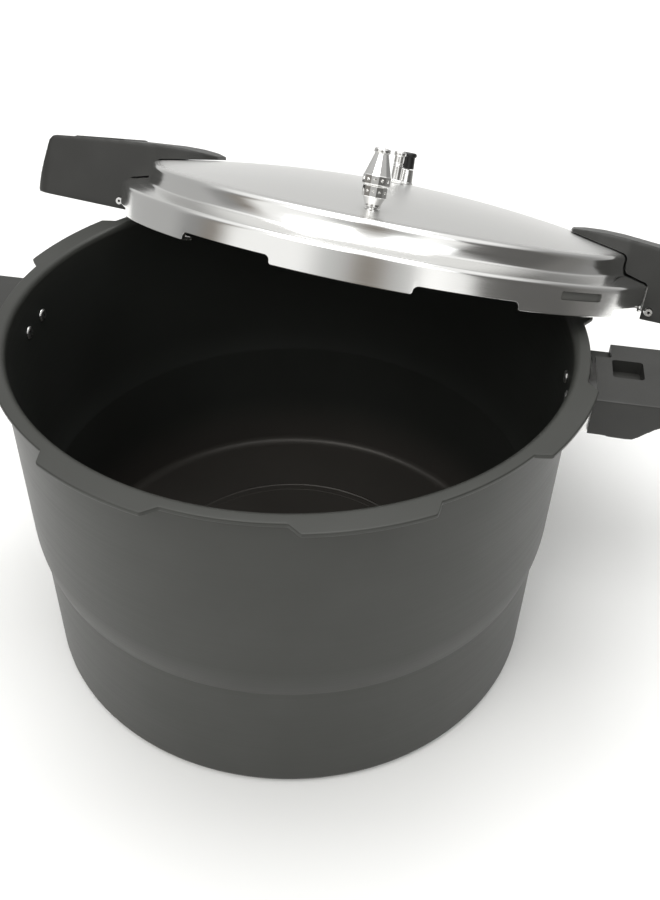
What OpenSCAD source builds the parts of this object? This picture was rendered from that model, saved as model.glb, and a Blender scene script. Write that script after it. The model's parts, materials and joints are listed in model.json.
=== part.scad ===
// Stovetop pressure cooker, outer-lid bayonet type, shown open with its lid lying
// tilted on the rear of the rim. Millimetres. Z is up, the origin is the centre of
// the flat base, and azimuths are measured from +X towards +Y.

/* [Pot] */
// Height of the pot from its base to the top of its rim
pot_h = 230; // [225:1:235]
// Outer radius of the upper wall
wall_r = 169.5; // [168.5:0.1:170]
// Thickness of the wall
wall_t = 3.5; // [3:0.1:4]
// Outer radius of the lower wall, below the step
lower_r = 166; // [165:0.1:167]
// Height of the crease where the step meets the lower wall
crease_z = 88.5; // [80:0.5:100]
// Thickness of the floor
floor_t = 4.5; // [3.5:0.1:6]

/* [Rim lugs] */
// Number of lugs round the rim
lug_count = 8; // [8:1:8]
// Azimuth of the first lug's middle, in degrees
lug_phase = 11.6; // [10:0.1:13]
// Outer radius of the lugs
lug_r = 182.3; // [181.5:0.1:182.5]
// Outer radius of the rim between the lugs
recess_r = 175.3; // [174.5:0.1:175.6]
// Thickness of the rim and its lugs
rim_t = 2.75; // [2.5:0.05:3]

/* [Lid] */
// Outer radius of the lid's lower skirt
skirt_r = 185.3; // [185:0.1:186]
// Thickness of the lid's sheet
lid_t = 2.2; // [1.8:0.1:2.3]
// Height of the shoulder's outer edge above the skirt's bottom
shoulder_h = 18.6; // [18:0.1:19]
// Outer radius of the upper skirt
upper_r = 167.8; // [167:0.1:168.5]
// Height of the bead where the upper skirt meets the dome
bead_h = 34.2; // [33:0.1:35]
// Height of the dome's middle above the skirt's bottom
dome_h = 49; // [47:0.5:51]

/* [Lid at rest] */
// How far the lid's middle lies behind the pot's axis
lid_shift = 148.6; // [148.6:0.1:148.6]
// Azimuth in which the lid is shifted and tilted, in degrees
lid_dir = 64.7; // [64.7:0.1:64.7]
// Height of the middle of the skirt's bottom
lid_z = 202.6; // [202.6:0.1:206]
// Tilt of the lid away from level, in degrees
lid_tilt = 23.35; // [23.35:0.05:23.35]

/* [Handles] */
// Azimuth of the right pot handle, in degrees; the left one is opposite
pot_handle_az = -11.5; // [-13:0.5:-9]
// Angle that the lid turns from open to locked, in degrees
lock_turn = 4.5; // [4:0.5:6]
// Width of the pot handles
handle_w = 60; // [54:1:64]
// Width of the lid handles
lid_handle_w = 61; // [58:1:66]
// Distance from the axis to the outer end of the pot handles
handle_end = 250; // [240:1:256]
// Distance from the lid's axis to the outer end of the lid handles
lid_handle_end = 257; // [254:1:260]
// Height of the pot handles' top face below the rim
handle_drop = 11; // [10.5:0.5:12]

/* [Valves] */
// Distance from the lid's axis to the pressure weight
weight_dist = 143; // [140:0.1:146]
// Azimuth of the pressure weight, in degrees
weight_az = 258; // [250:0.1:266]
// Distance from the lid's axis to the float valve
float_dist = 18; // [17:0.5:26]
// Azimuth of the float valve, in degrees
float_az = 60; // [40:1:90]
// Radius of the safety valve's ball
ball_r = 2.3; // [2.2:0.05:2.4]

/* [Hidden] */
$fn = 180;
eps = 0.01;
gap = 0.3;

// pot
inner_r = wall_r - wall_t;
lower_inner_r = lower_r - wall_t;
step_r = 80.6;
step_z = crease_z + 23.5;
inner_step_z = step_z + 11;
corner_r = 5.7;
inner_corner_r = 6.5;
lip_r = 4;
floor_disc_r = 100;
floor_ring_r = 105.5;
floor_ring_t = 0.7;
lug_root_half = 12.5;
lug_edge_half = 10.5;
step_angle = 360 / lug_count;

// lid, in its own frame: Z up its axis from the middle of the skirt's bottom
skirt_inner_r = skirt_r - lid_t;
shoulder_in_h = 21.8;
shoulder_in_r = 169.5;
shoulder_round = 3;
bead_round = 3.5;
bead_r = upper_r - bead_round;
dome_rise = dome_h - bead_h;
dome_r = (bead_r * bead_r + dome_rise * dome_rise) / (2 * dome_rise);
tab_h = 4.8;
tab_half = 12.7;
tab_phase = 30.8;
hook_phase = 34.1;
hook_half = 8.9;
hook_t = 2;
hook_r = recess_r + 0.9;
window_az = 302.4;
window_half = 5.6;
window_z = 9.2;
window_h = 5;
seat_h = 5.1;
lid_handle_az = pot_handle_az - lock_turn;

// handles
handle_inner = 180.8;
handle_z = pot_h - handle_drop;
pocket = 8;
screw_r = 2.5;
screw_rho = 222;
bracket_t = 2;
ear_t = handle_w / 2 - 2.5;
pot_screw_rho = 203;
pot_arm_z = pot_h - 31;

// valves
weight_foot = 2.35;
weight_drop = 1.2;
ball_h = dome_h + 5;
float_x = float_dist * cos(float_az);
float_y = float_dist * sin(float_az);
weight_x = weight_dist * cos(weight_az);
weight_y = weight_dist * sin(weight_az);
function dome_at(d) = dome_h - dome_r + sqrt(dome_r * dome_r - d * d);

// ---------------------------------------------------------------- helpers
module place_lid() {
    translate([lid_shift * cos(lid_dir), lid_shift * sin(lid_dir), lid_z])
        rotate(a = -lid_tilt, v = [sin(lid_dir), -cos(lid_dir), 0])
            children();
}

// a flat sector from radius r1 to r2, half as wide as half degrees each side of +X
module sector(r1, r2, half, steps = 12) {
    inner = [for (i = [0:steps]) let (a = half - 2 * half * i / steps) r1 * [cos(a), sin(a)]];
    outer = [for (i = [0:steps]) let (a = -half + 2 * half * i / steps) r2 * [cos(a), sin(a)]];
    polygon(concat(outer, inner));
}

// a ring sector that is true to the circle: angle degrees wide about +X
module ring_sector(r1, r2, h, half) {
    rotate([0, 0, -half])
        rotate_extrude(angle = 2 * half)
            translate([r1, 0])
                square([r2 - r1, h]);
}

module hex(across, h) {
    cylinder(d = across / cos(30), h = h, $fn = 6);
}

// a rounded bar along +X between two radii, as a plan outline
module plan_bar(x1, x2, w, r) {
    translate([x1, -w / 2])
        square([x2 - x1 - r, w]);
    translate([x2 - r - eps, -w / 2 + r])
        square([r + eps, w - 2 * r]);
    for (s = [-1, 1])
        translate([x2 - r, s * (w / 2 - r)])
            circle(r);
}

// a side outline in X and Z, pushed through the width w
module side_cut(points, w) {
    translate([0, w / 2, 0])
        rotate([90, 0, 0])
            linear_extrude(w)
                polygon(points);
}

// ---------------------------------------------------------------- pot
module pot_outer() {
    translate([0, corner_r])
        square([lower_r, crease_z - corner_r]);
    square([lower_r - corner_r, crease_z]);
    translate([lower_r - corner_r, corner_r])
        circle(corner_r);
    intersection() {
        translate([wall_r - step_r, step_z])
            circle(step_r);
        translate([0, crease_z - eps])
            square([wall_r + 1, step_z - crease_z + 2 * eps]);
    }
    translate([0, step_z])
        square([wall_r, pot_h - step_z]);
    translate([0, pot_h - rim_t])
        square([recess_r, rim_t]);
}

module pot_inner() {
    difference() {
        translate([-1, floor_t])
            square([lower_inner_r + 1, pot_h]);
        translate([lower_inner_r - inner_corner_r, floor_t - eps])
            square([inner_corner_r + 1, inner_corner_r + eps]);
    }
    translate([lower_inner_r - inner_corner_r, floor_t + inner_corner_r])
        circle(inner_corner_r);
    intersection() {
        translate([inner_r - step_r, inner_step_z])
            circle(step_r);
        translate([0, crease_z])
            square([wall_r, inner_step_z - crease_z + eps]);
    }
    translate([-1, inner_step_z])
        square([inner_r + 1, pot_h]);
    difference() {
        translate([inner_r - 1, pot_h - lip_r])
            square([lip_r + 1, lip_r + 1]);
        translate([inner_r + lip_r, pot_h - lip_r])
            circle(lip_r);
    }
    translate([-1, floor_t - floor_ring_t])
        square([floor_disc_r + 1, floor_ring_t + 1]);
}

module lug() {
    linear_extrude(rim_t)
        intersection() {
            polygon([
                [recess_r - 3, -tan(lug_root_half) * (recess_r - 3)],
                lug_r * 1.01 * [cos(lug_edge_half), -sin(lug_edge_half)],
                lug_r * 1.05 * [1, 0],
                lug_r * 1.01 * [cos(lug_edge_half), sin(lug_edge_half)],
                [recess_r - 3, tan(lug_root_half) * (recess_r - 3)]
            ]);
            difference() {
                circle(lug_r);
                circle(recess_r - 2);
            }
        }
}

module pot_shell() {
    color([0.29, 0.29, 0.27]) {
        difference() {
            union() {
                rotate_extrude()
                    difference() {
                        pot_outer();
                        pot_inner();
                    }
                for (i = [0:lug_count - 1])
                    rotate([0, 0, lug_phase + i * step_angle])
                        translate([0, 0, pot_h - rim_t])
                            lug();
                translate([0, 0, floor_t - 0.6])
                    rotate_extrude()
                        translate([floor_ring_r, 0])
                            intersection() {
                                scale([1, 1])
                                    circle(1.4);
                                translate([-2, 0])
                                    square([4, 2]);
                            }
            }
            rivet_places()
                cylinder(r = screw_r + 0.05, h = 20, center = true, $fn = 48);
        }
    }
}

// two rivets each side, through the wall under the rim
rivet_z = pot_h - 25;
rivet_half = 3.6;
module rivet_places(az = pot_handle_az, z = rivet_z) {
    for (side = [0, 180], s = [-1, 1])
        rotate([0, 0, az + side + s * rivet_half])
            translate([inner_r, 0, z])
                rotate([0, 90, 0])
                    children();
}

module pot_rivets() {
    color([0.8, 0.8, 0.8])
        rivet_places()
            union() {
                translate([0, 0, -1.4])
                    cylinder(r1 = 3.2, r2 = 4.2, h = 1.2, $fn = 48);
                translate([0, 0, -0.3])
                    cylinder(r = screw_r, h = wall_t + bracket_t + 1.6, $fn = 48);
                translate([0, 0, wall_t + bracket_t + 0.8])
                    cylinder(r1 = 4.2, r2 = 3, h = 1.4, $fn = 48);
            }
}

module pot_bracket() {
    color([0.75, 0.75, 0.74]) {
        difference() {
            translate([0, 0, pot_h - 37])
                ring_sector(wall_r + 0.1, wall_r + 0.1 + bracket_t, 26, 9.3);
            for (s = [-1, 1])
                rotate([0, 0, s * rivet_half])
                    translate([wall_r, 0, rivet_z])
                        rotate([0, 90, 0])
                            cylinder(r = screw_r + 0.05, h = 12, center = true, $fn = 48);
        }
        difference() {
            for (s = [-1, 1])
                translate([wall_r - 2.5, s * (ear_t - 1.2) - bracket_t / 2, pot_h - 35.5])
                    cube([20, bracket_t, 15]);
            translate([0, 0, pot_h - 40])
                cylinder(r = wall_r + 0.1, h = 30);
        }
        translate([wall_r + 12, -ear_t, pot_arm_z])
            difference() {
                cube([28, 2 * ear_t, bracket_t]);
                translate([pot_screw_rho - wall_r - 12, ear_t, -1])
                    cylinder(r = screw_r + 0.3, h = 5, $fn = 48);
            }
    }
}

module pot_bracket_right() {
    rotate([0, 0, pot_handle_az])
        pot_bracket();
}

module pot_bracket_left() {
    rotate([0, 0, pot_handle_az + 180])
        pot_bracket();
}

// the slot inside a pot handle that takes its bracket
module pot_bracket_slot() {
    for (s = [-1, 1])
        translate([wall_r - 3, s * (ear_t - 1.2) - bracket_t / 2 - 0.2, pot_h - 38])
            cube([21, bracket_t + 0.4, 18]);
    translate([wall_r + 11, -ear_t - 0.2, pot_arm_z - 0.2])
        cube([29, 2 * ear_t + 0.4, bracket_t + 0.4]);
}

module pot_handle() {
    color([0.2, 0.2, 0.19])
        difference() {
            intersection() {
                translate([0, 0, handle_z - 40])
                    linear_extrude(41)
                        plan_bar(handle_inner - 14, handle_end, handle_w, 14);
                side_cut([
                    [handle_inner - 14, handle_z - 24],
                    [handle_inner, handle_z - 24],
                    [handle_inner + 19, handle_z - 25.4],
                    [handle_inner + 24, handle_z - 24.6],
                    [handle_inner + 36.5, handle_z - 14.6],
                    [handle_inner + 48, handle_z - 12],
                    [handle_end, handle_z - 11],
                    [handle_end, handle_z - 1.2],
                    [handle_end - 6, handle_z],
                    [handle_inner - 14, handle_z]
                ], handle_w + 2);
            }
            translate([0, 0, handle_z - 50])
                cylinder(r = handle_inner, h = 100);
            // low channel beside the rim, on the rear half
            translate([handle_inner - 5, 15, handle_z - 6])
                cube([14, handle_w, 10]);
            // pocket that takes the lid handle's catch
            translate([handle_inner + 9, -5, handle_z - pocket])
                cube([18, 18, pocket + 1]);
            pot_bracket_slot();
            translate([pot_screw_rho, 0, pot_arm_z - 20])
                cylinder(r = 5.2, h = 21, $fn = 48);
            translate([pot_screw_rho, 0, pot_arm_z - 1])
                cylinder(r = screw_r + 0.1, h = 10.2, $fn = 48);
            translate([pot_screw_rho, 0, pot_arm_z + 2.4])
                hex(8.4, 4.2);
        }
}

module pot_handle_right() {
    rotate([0, 0, pot_handle_az])
        pot_handle();
}

module pot_handle_left() {
    rotate([0, 0, pot_handle_az + 180])
        pot_handle();
}

// pan head screw, head down, origin under the head
module pan_screw(length) {
    translate([0, 0, -3])
        difference() {
            union() {
                cylinder(r = 4.6, h = 2, $fn = 48);
                cylinder(r1 = 3.6, r2 = 4.6, h = 3, $fn = 48);
                translate([0, 0, 2])
                    cylinder(r = 4.6, h = 1, $fn = 48);
            }
            for (a = [0, 90])
                rotate([0, 0, a])
                    translate([-3, -0.5, -1])
                        cube([6, 1, 2.2]);
        }
    cylinder(r = screw_r, h = length, $fn = 48);
}

module pot_handle_screws() {
    color([0.78, 0.78, 0.76])
        for (side = [0, 180])
            rotate([0, 0, pot_handle_az + side])
                translate([pot_screw_rho, 0, pot_arm_z - 0.2])
                    pan_screw(9);
}

module pot_handle_nuts() {
    color([0.7, 0.7, 0.68])
        for (side = [0, 180])
            rotate([0, 0, pot_handle_az + side])
                translate([pot_screw_rho, 0, pot_arm_z + 2.6])
                    difference() {
                        hex(8, 3.8);
                        translate([0, 0, -1])
                            cylinder(r = screw_r + 0.05, h = 6, $fn = 48);
                    }
}

// ---------------------------------------------------------------- lid
// half section of the space that the lid's outside encloses, grown by g
module lid_outline(g = 0) {
    square([skirt_r + g - shoulder_round, shoulder_h + g]);
    square([skirt_r + g, shoulder_h + g - shoulder_round]);
    translate([skirt_r + g - shoulder_round, shoulder_h + g - shoulder_round])
        circle(shoulder_round);
    polygon([
        [0, shoulder_h + g - eps], [skirt_r + g - shoulder_round, shoulder_h + g - eps],
        [shoulder_in_r + g, shoulder_in_h + g], [0, shoulder_in_h + g]
    ]);
    square([upper_r + g, bead_h + g - bead_round]);
    translate([upper_r + g - bead_round, bead_h + g - bead_round])
        circle(bead_round);
    intersection() {
        translate([0, dome_h - dome_r])
            circle(dome_r + g, $fn = 720);
        translate([0, bead_h - 6])
            square([bead_r + g, dome_rise + 10]);
    }
}

module lid_hollow() {
    translate([-1, -1])
        square([skirt_inner_r + 1, shoulder_h - lid_t + 1]);
    translate([-1, 0])
        square([shoulder_in_r - lid_t + 1, shoulder_in_h - lid_t]);
    translate([-1, 0])
        square([upper_r - lid_t + 1, bead_h - 3.4]);
    intersection() {
        translate([0, dome_h - dome_r])
            circle(dome_r - lid_t, $fn = 720);
        translate([-1, 0])
            square([bead_r, dome_h]);
    }
}

module lid_sheet() {
    color([0.8, 0.8, 0.79]) {
        difference() {
            rotate_extrude()
                intersection() {
                    difference() {
                        lid_outline();
                        lid_hollow();
                    }
                    square([skirt_r + 1, dome_h + 1]);
                }
            for (i = [0:lug_count - 1])
                rotate([0, 0, tab_phase + (i + 0.5) * step_angle])
                    translate([0, 0, -1])
                        linear_extrude(tab_h + 1)
                            sector(skirt_inner_r - 20, skirt_r + 5, step_angle / 2 - tab_half);
            rotate([0, 0, window_az])
                translate([0, 0, window_z])
                    linear_extrude(window_h)
                        sector(skirt_inner_r - 3, skirt_r + 3, window_half);
            translate([weight_x, weight_y, 0])
                cylinder(r = 5, h = dome_h + 2, $fn = 64);
            cylinder(r = 4.1, h = dome_h + 2, $fn = 64);
            translate([float_x, float_y, 0])
                cylinder(r = 4.6, h = dome_h + 2, $fn = 64);
            lid_rivet_places()
                cylinder(r = screw_r + 0.05, h = 12, center = true, $fn = 48);
        }
        for (i = [0:lug_count - 1])
            rotate([0, 0, hook_phase + i * step_angle])
                ring_sector(hook_r, skirt_inner_r + 0.6, hook_t, hook_half);
    }
}

module lid_shell() {
    place_lid()
        lid_sheet();
}

// moulded ring with a lip groove on its inner side
gasket_in_r = 168.2;
module gasket() {
    color([0.3, 0.3, 0.29])
        place_lid()
            rotate_extrude()
                difference() {
                    translate([gasket_in_r, seat_h + gap])
                        square([
                            skirt_inner_r - gap - gasket_in_r,
                            shoulder_h - lid_t - seat_h - 2 * gap
                        ]);
                    translate([gasket_in_r + 2, seat_h + gap + 5.2])
                        circle(2.2);
                    translate([gasket_in_r - 1, seat_h + gap + 3.8])
                        square([3.2, 2.8]);
                }
}

// two rivets each side, through the skirt into the bracket
lid_rivet_half = 5.2;
lid_rivet_z = 11.8;
module lid_rivet_places() {
    for (side = [0, 180], s = [-1, 1])
        rotate([0, 0, lid_handle_az + side + s * lid_rivet_half])
            translate([skirt_inner_r, 0, lid_rivet_z + 1.4])
                rotate([0, 90, 0])
                    children();
}

module lid_rivets() {
    color([0.8, 0.8, 0.8])
        place_lid()
            lid_rivet_places()
                union() {
                    translate([0, 0, 0.1])
                        cylinder(r = screw_r, h = lid_t + bracket_t + 0.3, $fn = 48);
                    translate([0, 0, lid_t + bracket_t + 0.35])
                        cylinder(r1 = 3.6, r2 = 2.6, h = 1, $fn = 48);
                }
}

arm_z = 4;
module lid_bracket() {
    color([0.78, 0.78, 0.77]) {
        difference() {
            translate([0, 0, 0.6])
                ring_sector(skirt_r + 0.1, skirt_r + 0.1 + bracket_t, 17, 7.9);
            for (s = [-1, 1])
                rotate([0, 0, s * lid_rivet_half])
                    translate([skirt_r, 0, lid_rivet_z + 1.4])
                        rotate([0, 90, 0])
                            cylinder(r = screw_r + 0.05, h = 12, center = true, $fn = 48);
        }
        // rolled lower edge
        translate([skirt_r + 2.4, -35, 0.9])
            rotate([-90, 0, 0])
                difference() {
                    cylinder(r = 2.4, h = 70, $fn = 48);
                    translate([0, 0, -1])
                        cylinder(r = 0.9, h = 72, $fn = 48);
                }
        translate([skirt_r + 1.5, -12, arm_z])
            difference() {
                cube([46, 24, bracket_t]);
                translate([screw_rho - skirt_r - 1.5, 12, -1])
                    cylinder(r = screw_r + 0.3, h = 5, $fn = 48);
            }
    }
}

module lid_bracket_right() {
    place_lid()
        rotate([0, 0, lid_handle_az])
            lid_bracket();
}

module lid_bracket_left() {
    place_lid()
        rotate([0, 0, lid_handle_az + 180])
            lid_bracket();
}

// room round the bracket inside a lid handle
module lid_bracket_room() {
    translate([0, 0, -6])
        ring_sector(skirt_r - 4, skirt_r + 4.4, 25, 9);
    translate([0, 0, -6])
        ring_sector(skirt_r - 8, skirt_r + 0.8, 7, 24);
    translate([skirt_r + 2.4, -48, 0.9])
        rotate([-90, 0, 0])
            cylinder(r = 2.9, h = 96, $fn = 48);
    translate([skirt_r, -12.4, arm_z - 0.2])
        cube([49, 24.8, bracket_t + 0.4]);
}

nose_r = 127;
lid_handle_bottom = -5;
handle_fit = 0.8;
module handle_side() {
    side_cut([
        [lid_handle_end - 1, lid_handle_bottom], [lid_handle_end, lid_handle_bottom + 2],
        [lid_handle_end - 9, 34], [lid_handle_end - 12.5, 36.6], [200, 41.6], [165, 44.4],
        [150, 44.8], [137, 44.2], [nose_r + 1, 43.2], [nose_r, 42], [nose_r + 0.4, 39.6],
        [142, 35.5], [160, 18], [184, lid_handle_bottom]
    ], lid_handle_w + 2);
}

// plan of a lid handle: full width outside, narrowing to its nose
module handle_plan() {
    plan_bar(180, lid_handle_end, lid_handle_w, 13);
    polygon([
        [182, -lid_handle_w / 2], [182, lid_handle_w / 2], [166, lid_handle_w / 2], [145, 25],
        [134, 19], [nose_r, 10], [nose_r, -10], [134, -19], [145, -25],
        [166, -lid_handle_w / 2]
    ]);
}

cap_in = 193;
cap_out = 233;
module cap_plan(g = 0) {
    translate([cap_in - g, -24 - g])
        square([cap_out - cap_in + 2 * g, 48 + 2 * g]);
}

module lid_handle() {
    color([0.2, 0.2, 0.19])
        difference() {
            intersection() {
                translate([0, 0, -10])
                    linear_extrude(70)
                        handle_plan();
                handle_side();
            }
            rotate_extrude()
                lid_outline(handle_fit);
            lid_bracket_room();
            // recess for the cap plate
            translate([0, 0, 35])
                linear_extrude(20)
                    cap_plan(0.15);
            translate([screw_rho, 0, -6])
                cylinder(r = 5.2, h = arm_z + 6, $fn = 48);
            translate([screw_rho, 0, -1])
                cylinder(r = screw_r + 0.05, h = 27, $fn = 48);
        }
}

module lid_handle_right() {
    place_lid()
        rotate([0, 0, lid_handle_az])
            lid_handle();
}

module lid_handle_left() {
    place_lid()
        rotate([0, 0, lid_handle_az + 180])
            lid_handle();
}

module lid_handle_cap() {
    color([0.22, 0.22, 0.21])
        intersection() {
            translate([0, 0, 35.1])
                linear_extrude(14)
                    cap_plan();
            side_cut([
                [cap_in - 1, 30], [cap_out + 1, 30], [cap_out, 38.2], [cap_out - 3, 39.1],
                [cap_in + 3, 42.9], [cap_in, 42.2]
            ], 60);
        }
}

module lid_handle_cap_right() {
    place_lid()
        rotate([0, 0, lid_handle_az])
            lid_handle_cap();
}

module lid_handle_cap_left() {
    place_lid()
        rotate([0, 0, lid_handle_az + 180])
            lid_handle_cap();
}

module lid_handle_screws() {
    color([0.78, 0.78, 0.76])
        place_lid()
            for (side = [0, 180])
                rotate([0, 0, lid_handle_az + side])
                    translate([screw_rho, 0, arm_z])
                        pan_screw(19);
}

// ---------------------------------------------------------------- pressure weight and vent
module place_weight() {
    place_lid()
        translate([weight_x, weight_y, dome_at(weight_dist)])
            children();
}

module vent_pipe() {
    color([0.8, 0.8, 0.78])
        place_weight()
            difference() {
                union() {
                    translate([0, 0, -14.8])
                        cylinder(r = 4.9, h = 15.1, $fn = 64);
                    translate([0, 0, 0.2])
                        cylinder(r = 3.4, h = 15.8, $fn = 64);
                    translate([0, 0, 16])
                        cylinder(r1 = 3.4, r2 = 2.6, h = 2, $fn = 64);
                }
                translate([0, 0, -15])
                    cylinder(r = 1.5, h = 40, $fn = 48);
            }
}

module vent_seal() {
    color([0.2, 0.2, 0.2])
        place_weight()
            translate([0, 0, -5.7])
                difference() {
                    cylinder(r = 9, h = 1.8, $fn = 64);
                    translate([0, 0, -1])
                        cylinder(r = 5, h = 4, $fn = 64);
                }
}

module vent_nut() {
    color([0.75, 0.75, 0.73])
        place_weight()
            translate([0, 0, -9.9])
                difference() {
                    hex(15, 4);
                    translate([0, 0, -1])
                        cylinder(r = 4.95, h = 6, $fn = 64);
                }
}

// perforated cup that keeps food out of the vent
module vent_strainer() {
    color([0.72, 0.72, 0.7])
        place_weight()
            difference() {
                translate([0, 0, -18.8])
                    cylinder(r = 7, h = 8.6, $fn = 64);
                translate([0, 0, -17.8])
                    cylinder(r = 6, h = 3, $fn = 64);
                translate([0, 0, -14.85])
                    cylinder(r = 4.95, h = 6, $fn = 64);
                for (i = [0:5])
                    rotate([0, 0, 60 * i])
                        translate([3.6, 0, -20])
                            cylinder(r = 0.9, h = 3, $fn = 24);
            }
}

weight_top = 35.3;
module weight_body() {
    color([0.85, 0.85, 0.84])
        place_weight()
            translate([0, 0, -weight_drop])
                difference() {
                    union() {
                        translate([0, 0, weight_top - 3])
                            cylinder(r = 4.9, h = 2, $fn = 64);
                        translate([0, 0, weight_top - 1])
                            cylinder(r1 = 4.9, r2 = 3.8, h = 1, $fn = 64);
                        translate([0, 0, 20.4])
                            cylinder(r1 = 7.9, r2 = 4, h = weight_top - 23.4, $fn = 12);
                        translate([0, 0, 14.8])
                            cylinder(r = 8.3, h = 5.6, $fn = 12);
                    }
                    translate([0, 0, 14])
                        cylinder(r = 3.75, h = 9.2, $fn = 64);
                    for (i = [0:11])
                        rotate([0, 0, 15 + 30 * i])
                            translate([7.7, 0, 17.8])
                                rotate([0, 90, 0])
                                    cylinder(r = 1.1, h = 2, $fn = 24);
                }
}

module weight_base() {
    color([0.85, 0.85, 0.84])
        place_weight()
            translate([0, 0, -weight_drop])
                difference() {
                    union() {
                        translate([0, 0, 8])
                            cylinder(r = 7.3, h = 6.5, $fn = 12);
                        translate([0, 0, weight_foot])
                            cylinder(r1 = 4.9, r2 = 6.6, h = 8.01 - weight_foot, $fn = 64);
                    }
                    translate([0, 0, 0])
                        cylinder(r = 3.75, h = 16, $fn = 64);
                    for (i = [0:11])
                        rotate([0, 0, 15 + 30 * i])
                            translate([6.7, 0, 11.3])
                                rotate([0, 90, 0])
                                    cylinder(r = 1, h = 2, $fn = 24);
                }
}

module weight_needle() {
    color([0.7, 0.7, 0.68])
        place_weight()
            translate([0, 0, -weight_drop])
                union() {
                    translate([0, 0, 20.4])
                        cylinder(r = 3.7, h = 2.7, $fn = 64);
                    translate([0, 0, 17.9])
                        cylinder(r1 = 0.6, r2 = 1.3, h = 2.51, $fn = 48);
                }
}

// ---------------------------------------------------------------- safety valve
module place_safety() {
    place_lid()
        translate([0, 0, dome_h])
            children();
}

post_bore = 2.7;
module safety_body() {
    color([0.82, 0.82, 0.8])
        place_safety()
            difference() {
                union() {
                    translate([0, 0, -11])
                        cylinder(r = 4, h = 11.1, $fn = 64);
                    translate([0, 0, 0.1])
                        hex(12, 2.4);
                    translate([0, 0, 2.5])
                        cylinder(r = 3.5, h = 8.9, $fn = 64);
                }
                translate([0, 0, -12])
                    cylinder(r = 1.2, h = 20, $fn = 48);
                translate([0, 0, 2.2])
                    cylinder(r = post_bore, h = 20, $fn = 48);
            }
}

module safety_head() {
    color([0.86, 0.86, 0.85])
        place_safety()
            difference() {
                union() {
                    translate([0, 0, 11.5])
                        cylinder(r = 3.6, h = 7.1, $fn = 64);
                    translate([0, 0, 18.6])
                        cylinder(r = 4.4, h = 2.2, $fn = 64);
                    translate([0, 0, 20.8])
                        cylinder(r1 = 4.4, r2 = 3.6, h = 0.8, $fn = 64);
                    translate([0, 0, 10.7])
                        cylinder(r = post_bore - 0.05, h = 0.81, $fn = 48);
                }
                translate([0, 0, 10])
                    cylinder(r = 1, h = 14, $fn = 32);
            }
}

module safety_ball() {
    color([0.8, 0.8, 0.8])
        place_lid()
            translate([0, 0, ball_h])
                sphere(r = ball_r, $fn = 64);
}

spring_r = 1.85;
spring_wire = 0.3;
spring_turns = 4;
spring_bottom = 7.9;
spring_top = 10.2;
spring_pitch = (spring_top - spring_bottom) / (spring_turns - 1);
module safety_spring() {
    color([0.7, 0.7, 0.7])
        place_safety()
            union() {
                for (i = [0:spring_turns - 1])
                    translate([0, 0, spring_bottom + spring_pitch * i])
                        rotate_extrude()
                            translate([spring_r, 0])
                                circle(spring_wire, $fn = 24);
                // the rise from each coil to the next
                for (i = [0:spring_turns - 2])
                    rotate([0, 0, 120 * i])
                        translate([spring_r, 0, spring_bottom + spring_pitch * i])
                            cylinder(r = spring_wire * 0.8, h = spring_pitch, $fn = 24);
            }
}

module safety_seal() {
    color([0.2, 0.2, 0.2])
        place_safety()
            translate([0, 0, -lid_t - 1.9])
                difference() {
                    cylinder(r = 7, h = 1.8, $fn = 64);
                    translate([0, 0, -1])
                        cylinder(r = 4.1, h = 4, $fn = 64);
                }
}

module safety_nut() {
    color([0.75, 0.75, 0.73])
        place_safety()
            translate([0, 0, -lid_t - 6])
                difference() {
                    hex(11, 4);
                    translate([0, 0, -1])
                        cylinder(r = 4.05, h = 6, $fn = 64);
                }
}

// ---------------------------------------------------------------- float valve
module place_float() {
    place_lid()
        translate([float_x, float_y, dome_at(float_dist)])
            children();
}

pin_r = 2;
module float_sleeve() {
    color([0.84, 0.84, 0.83])
        place_float()
            difference() {
                union() {
                    translate([0, 0, -6.8])
                        cylinder(r = 4.5, h = 7.2, $fn = 64);
                    translate([0, 0, 0.3])
                        cylinder(r = 6.4, h = 1.2, $fn = 64);
                    translate([0, 0, 1.5])
                        cylinder(r1 = 5.8, r2 = 5, h = 9, $fn = 64);
                }
                translate([0, 0, -12])
                    cylinder(r = pin_r + 0.4, h = 30, $fn = 48);
            }
}

module float_seal() {
    color([0.2, 0.2, 0.2])
        place_float()
            translate([0, 0, -lid_t - 2])
                difference() {
                    cylinder(r = 7.4, h = 1.8, $fn = 64);
                    translate([0, 0, -1])
                        cylinder(r = 4.6, h = 4, $fn = 64);
                }
}

module float_nut() {
    color([0.75, 0.75, 0.73])
        place_float()
            translate([0, 0, -lid_t - 5.1])
                difference() {
                    hex(12, 3);
                    translate([0, 0, -1])
                        cylinder(r = 4.55, h = 6, $fn = 64);
                }
}

module float_pin() {
    color([0.75, 0.75, 0.75])
        place_float()
            union() {
                translate([0, 0, -9.6])
                    cylinder(r = 3.4, h = 0.9, $fn = 48);
                translate([0, 0, -8.8])
                    cylinder(r = pin_r, h = 24.9, $fn = 48);
            }
}

module float_cap() {
    color([0.05, 0.05, 0.05])
        place_float()
            difference() {
                union() {
                    translate([0, 0, 10.9])
                        cylinder(r1 = 4.9, r2 = 4.3, h = 8.6, $fn = 64);
                    translate([0, 0, 19.4])
                        cylinder(r = 5.3, h = 1.8, $fn = 64);
                    translate([0, 0, 21.2])
                        cylinder(r1 = 5.3, r2 = 4.4, h = 0.9, $fn = 64);
                }
                translate([0, 0, 10])
                    cylinder(r = pin_r + 0.02, h = 6.15, $fn = 48);
            }
}

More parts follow.
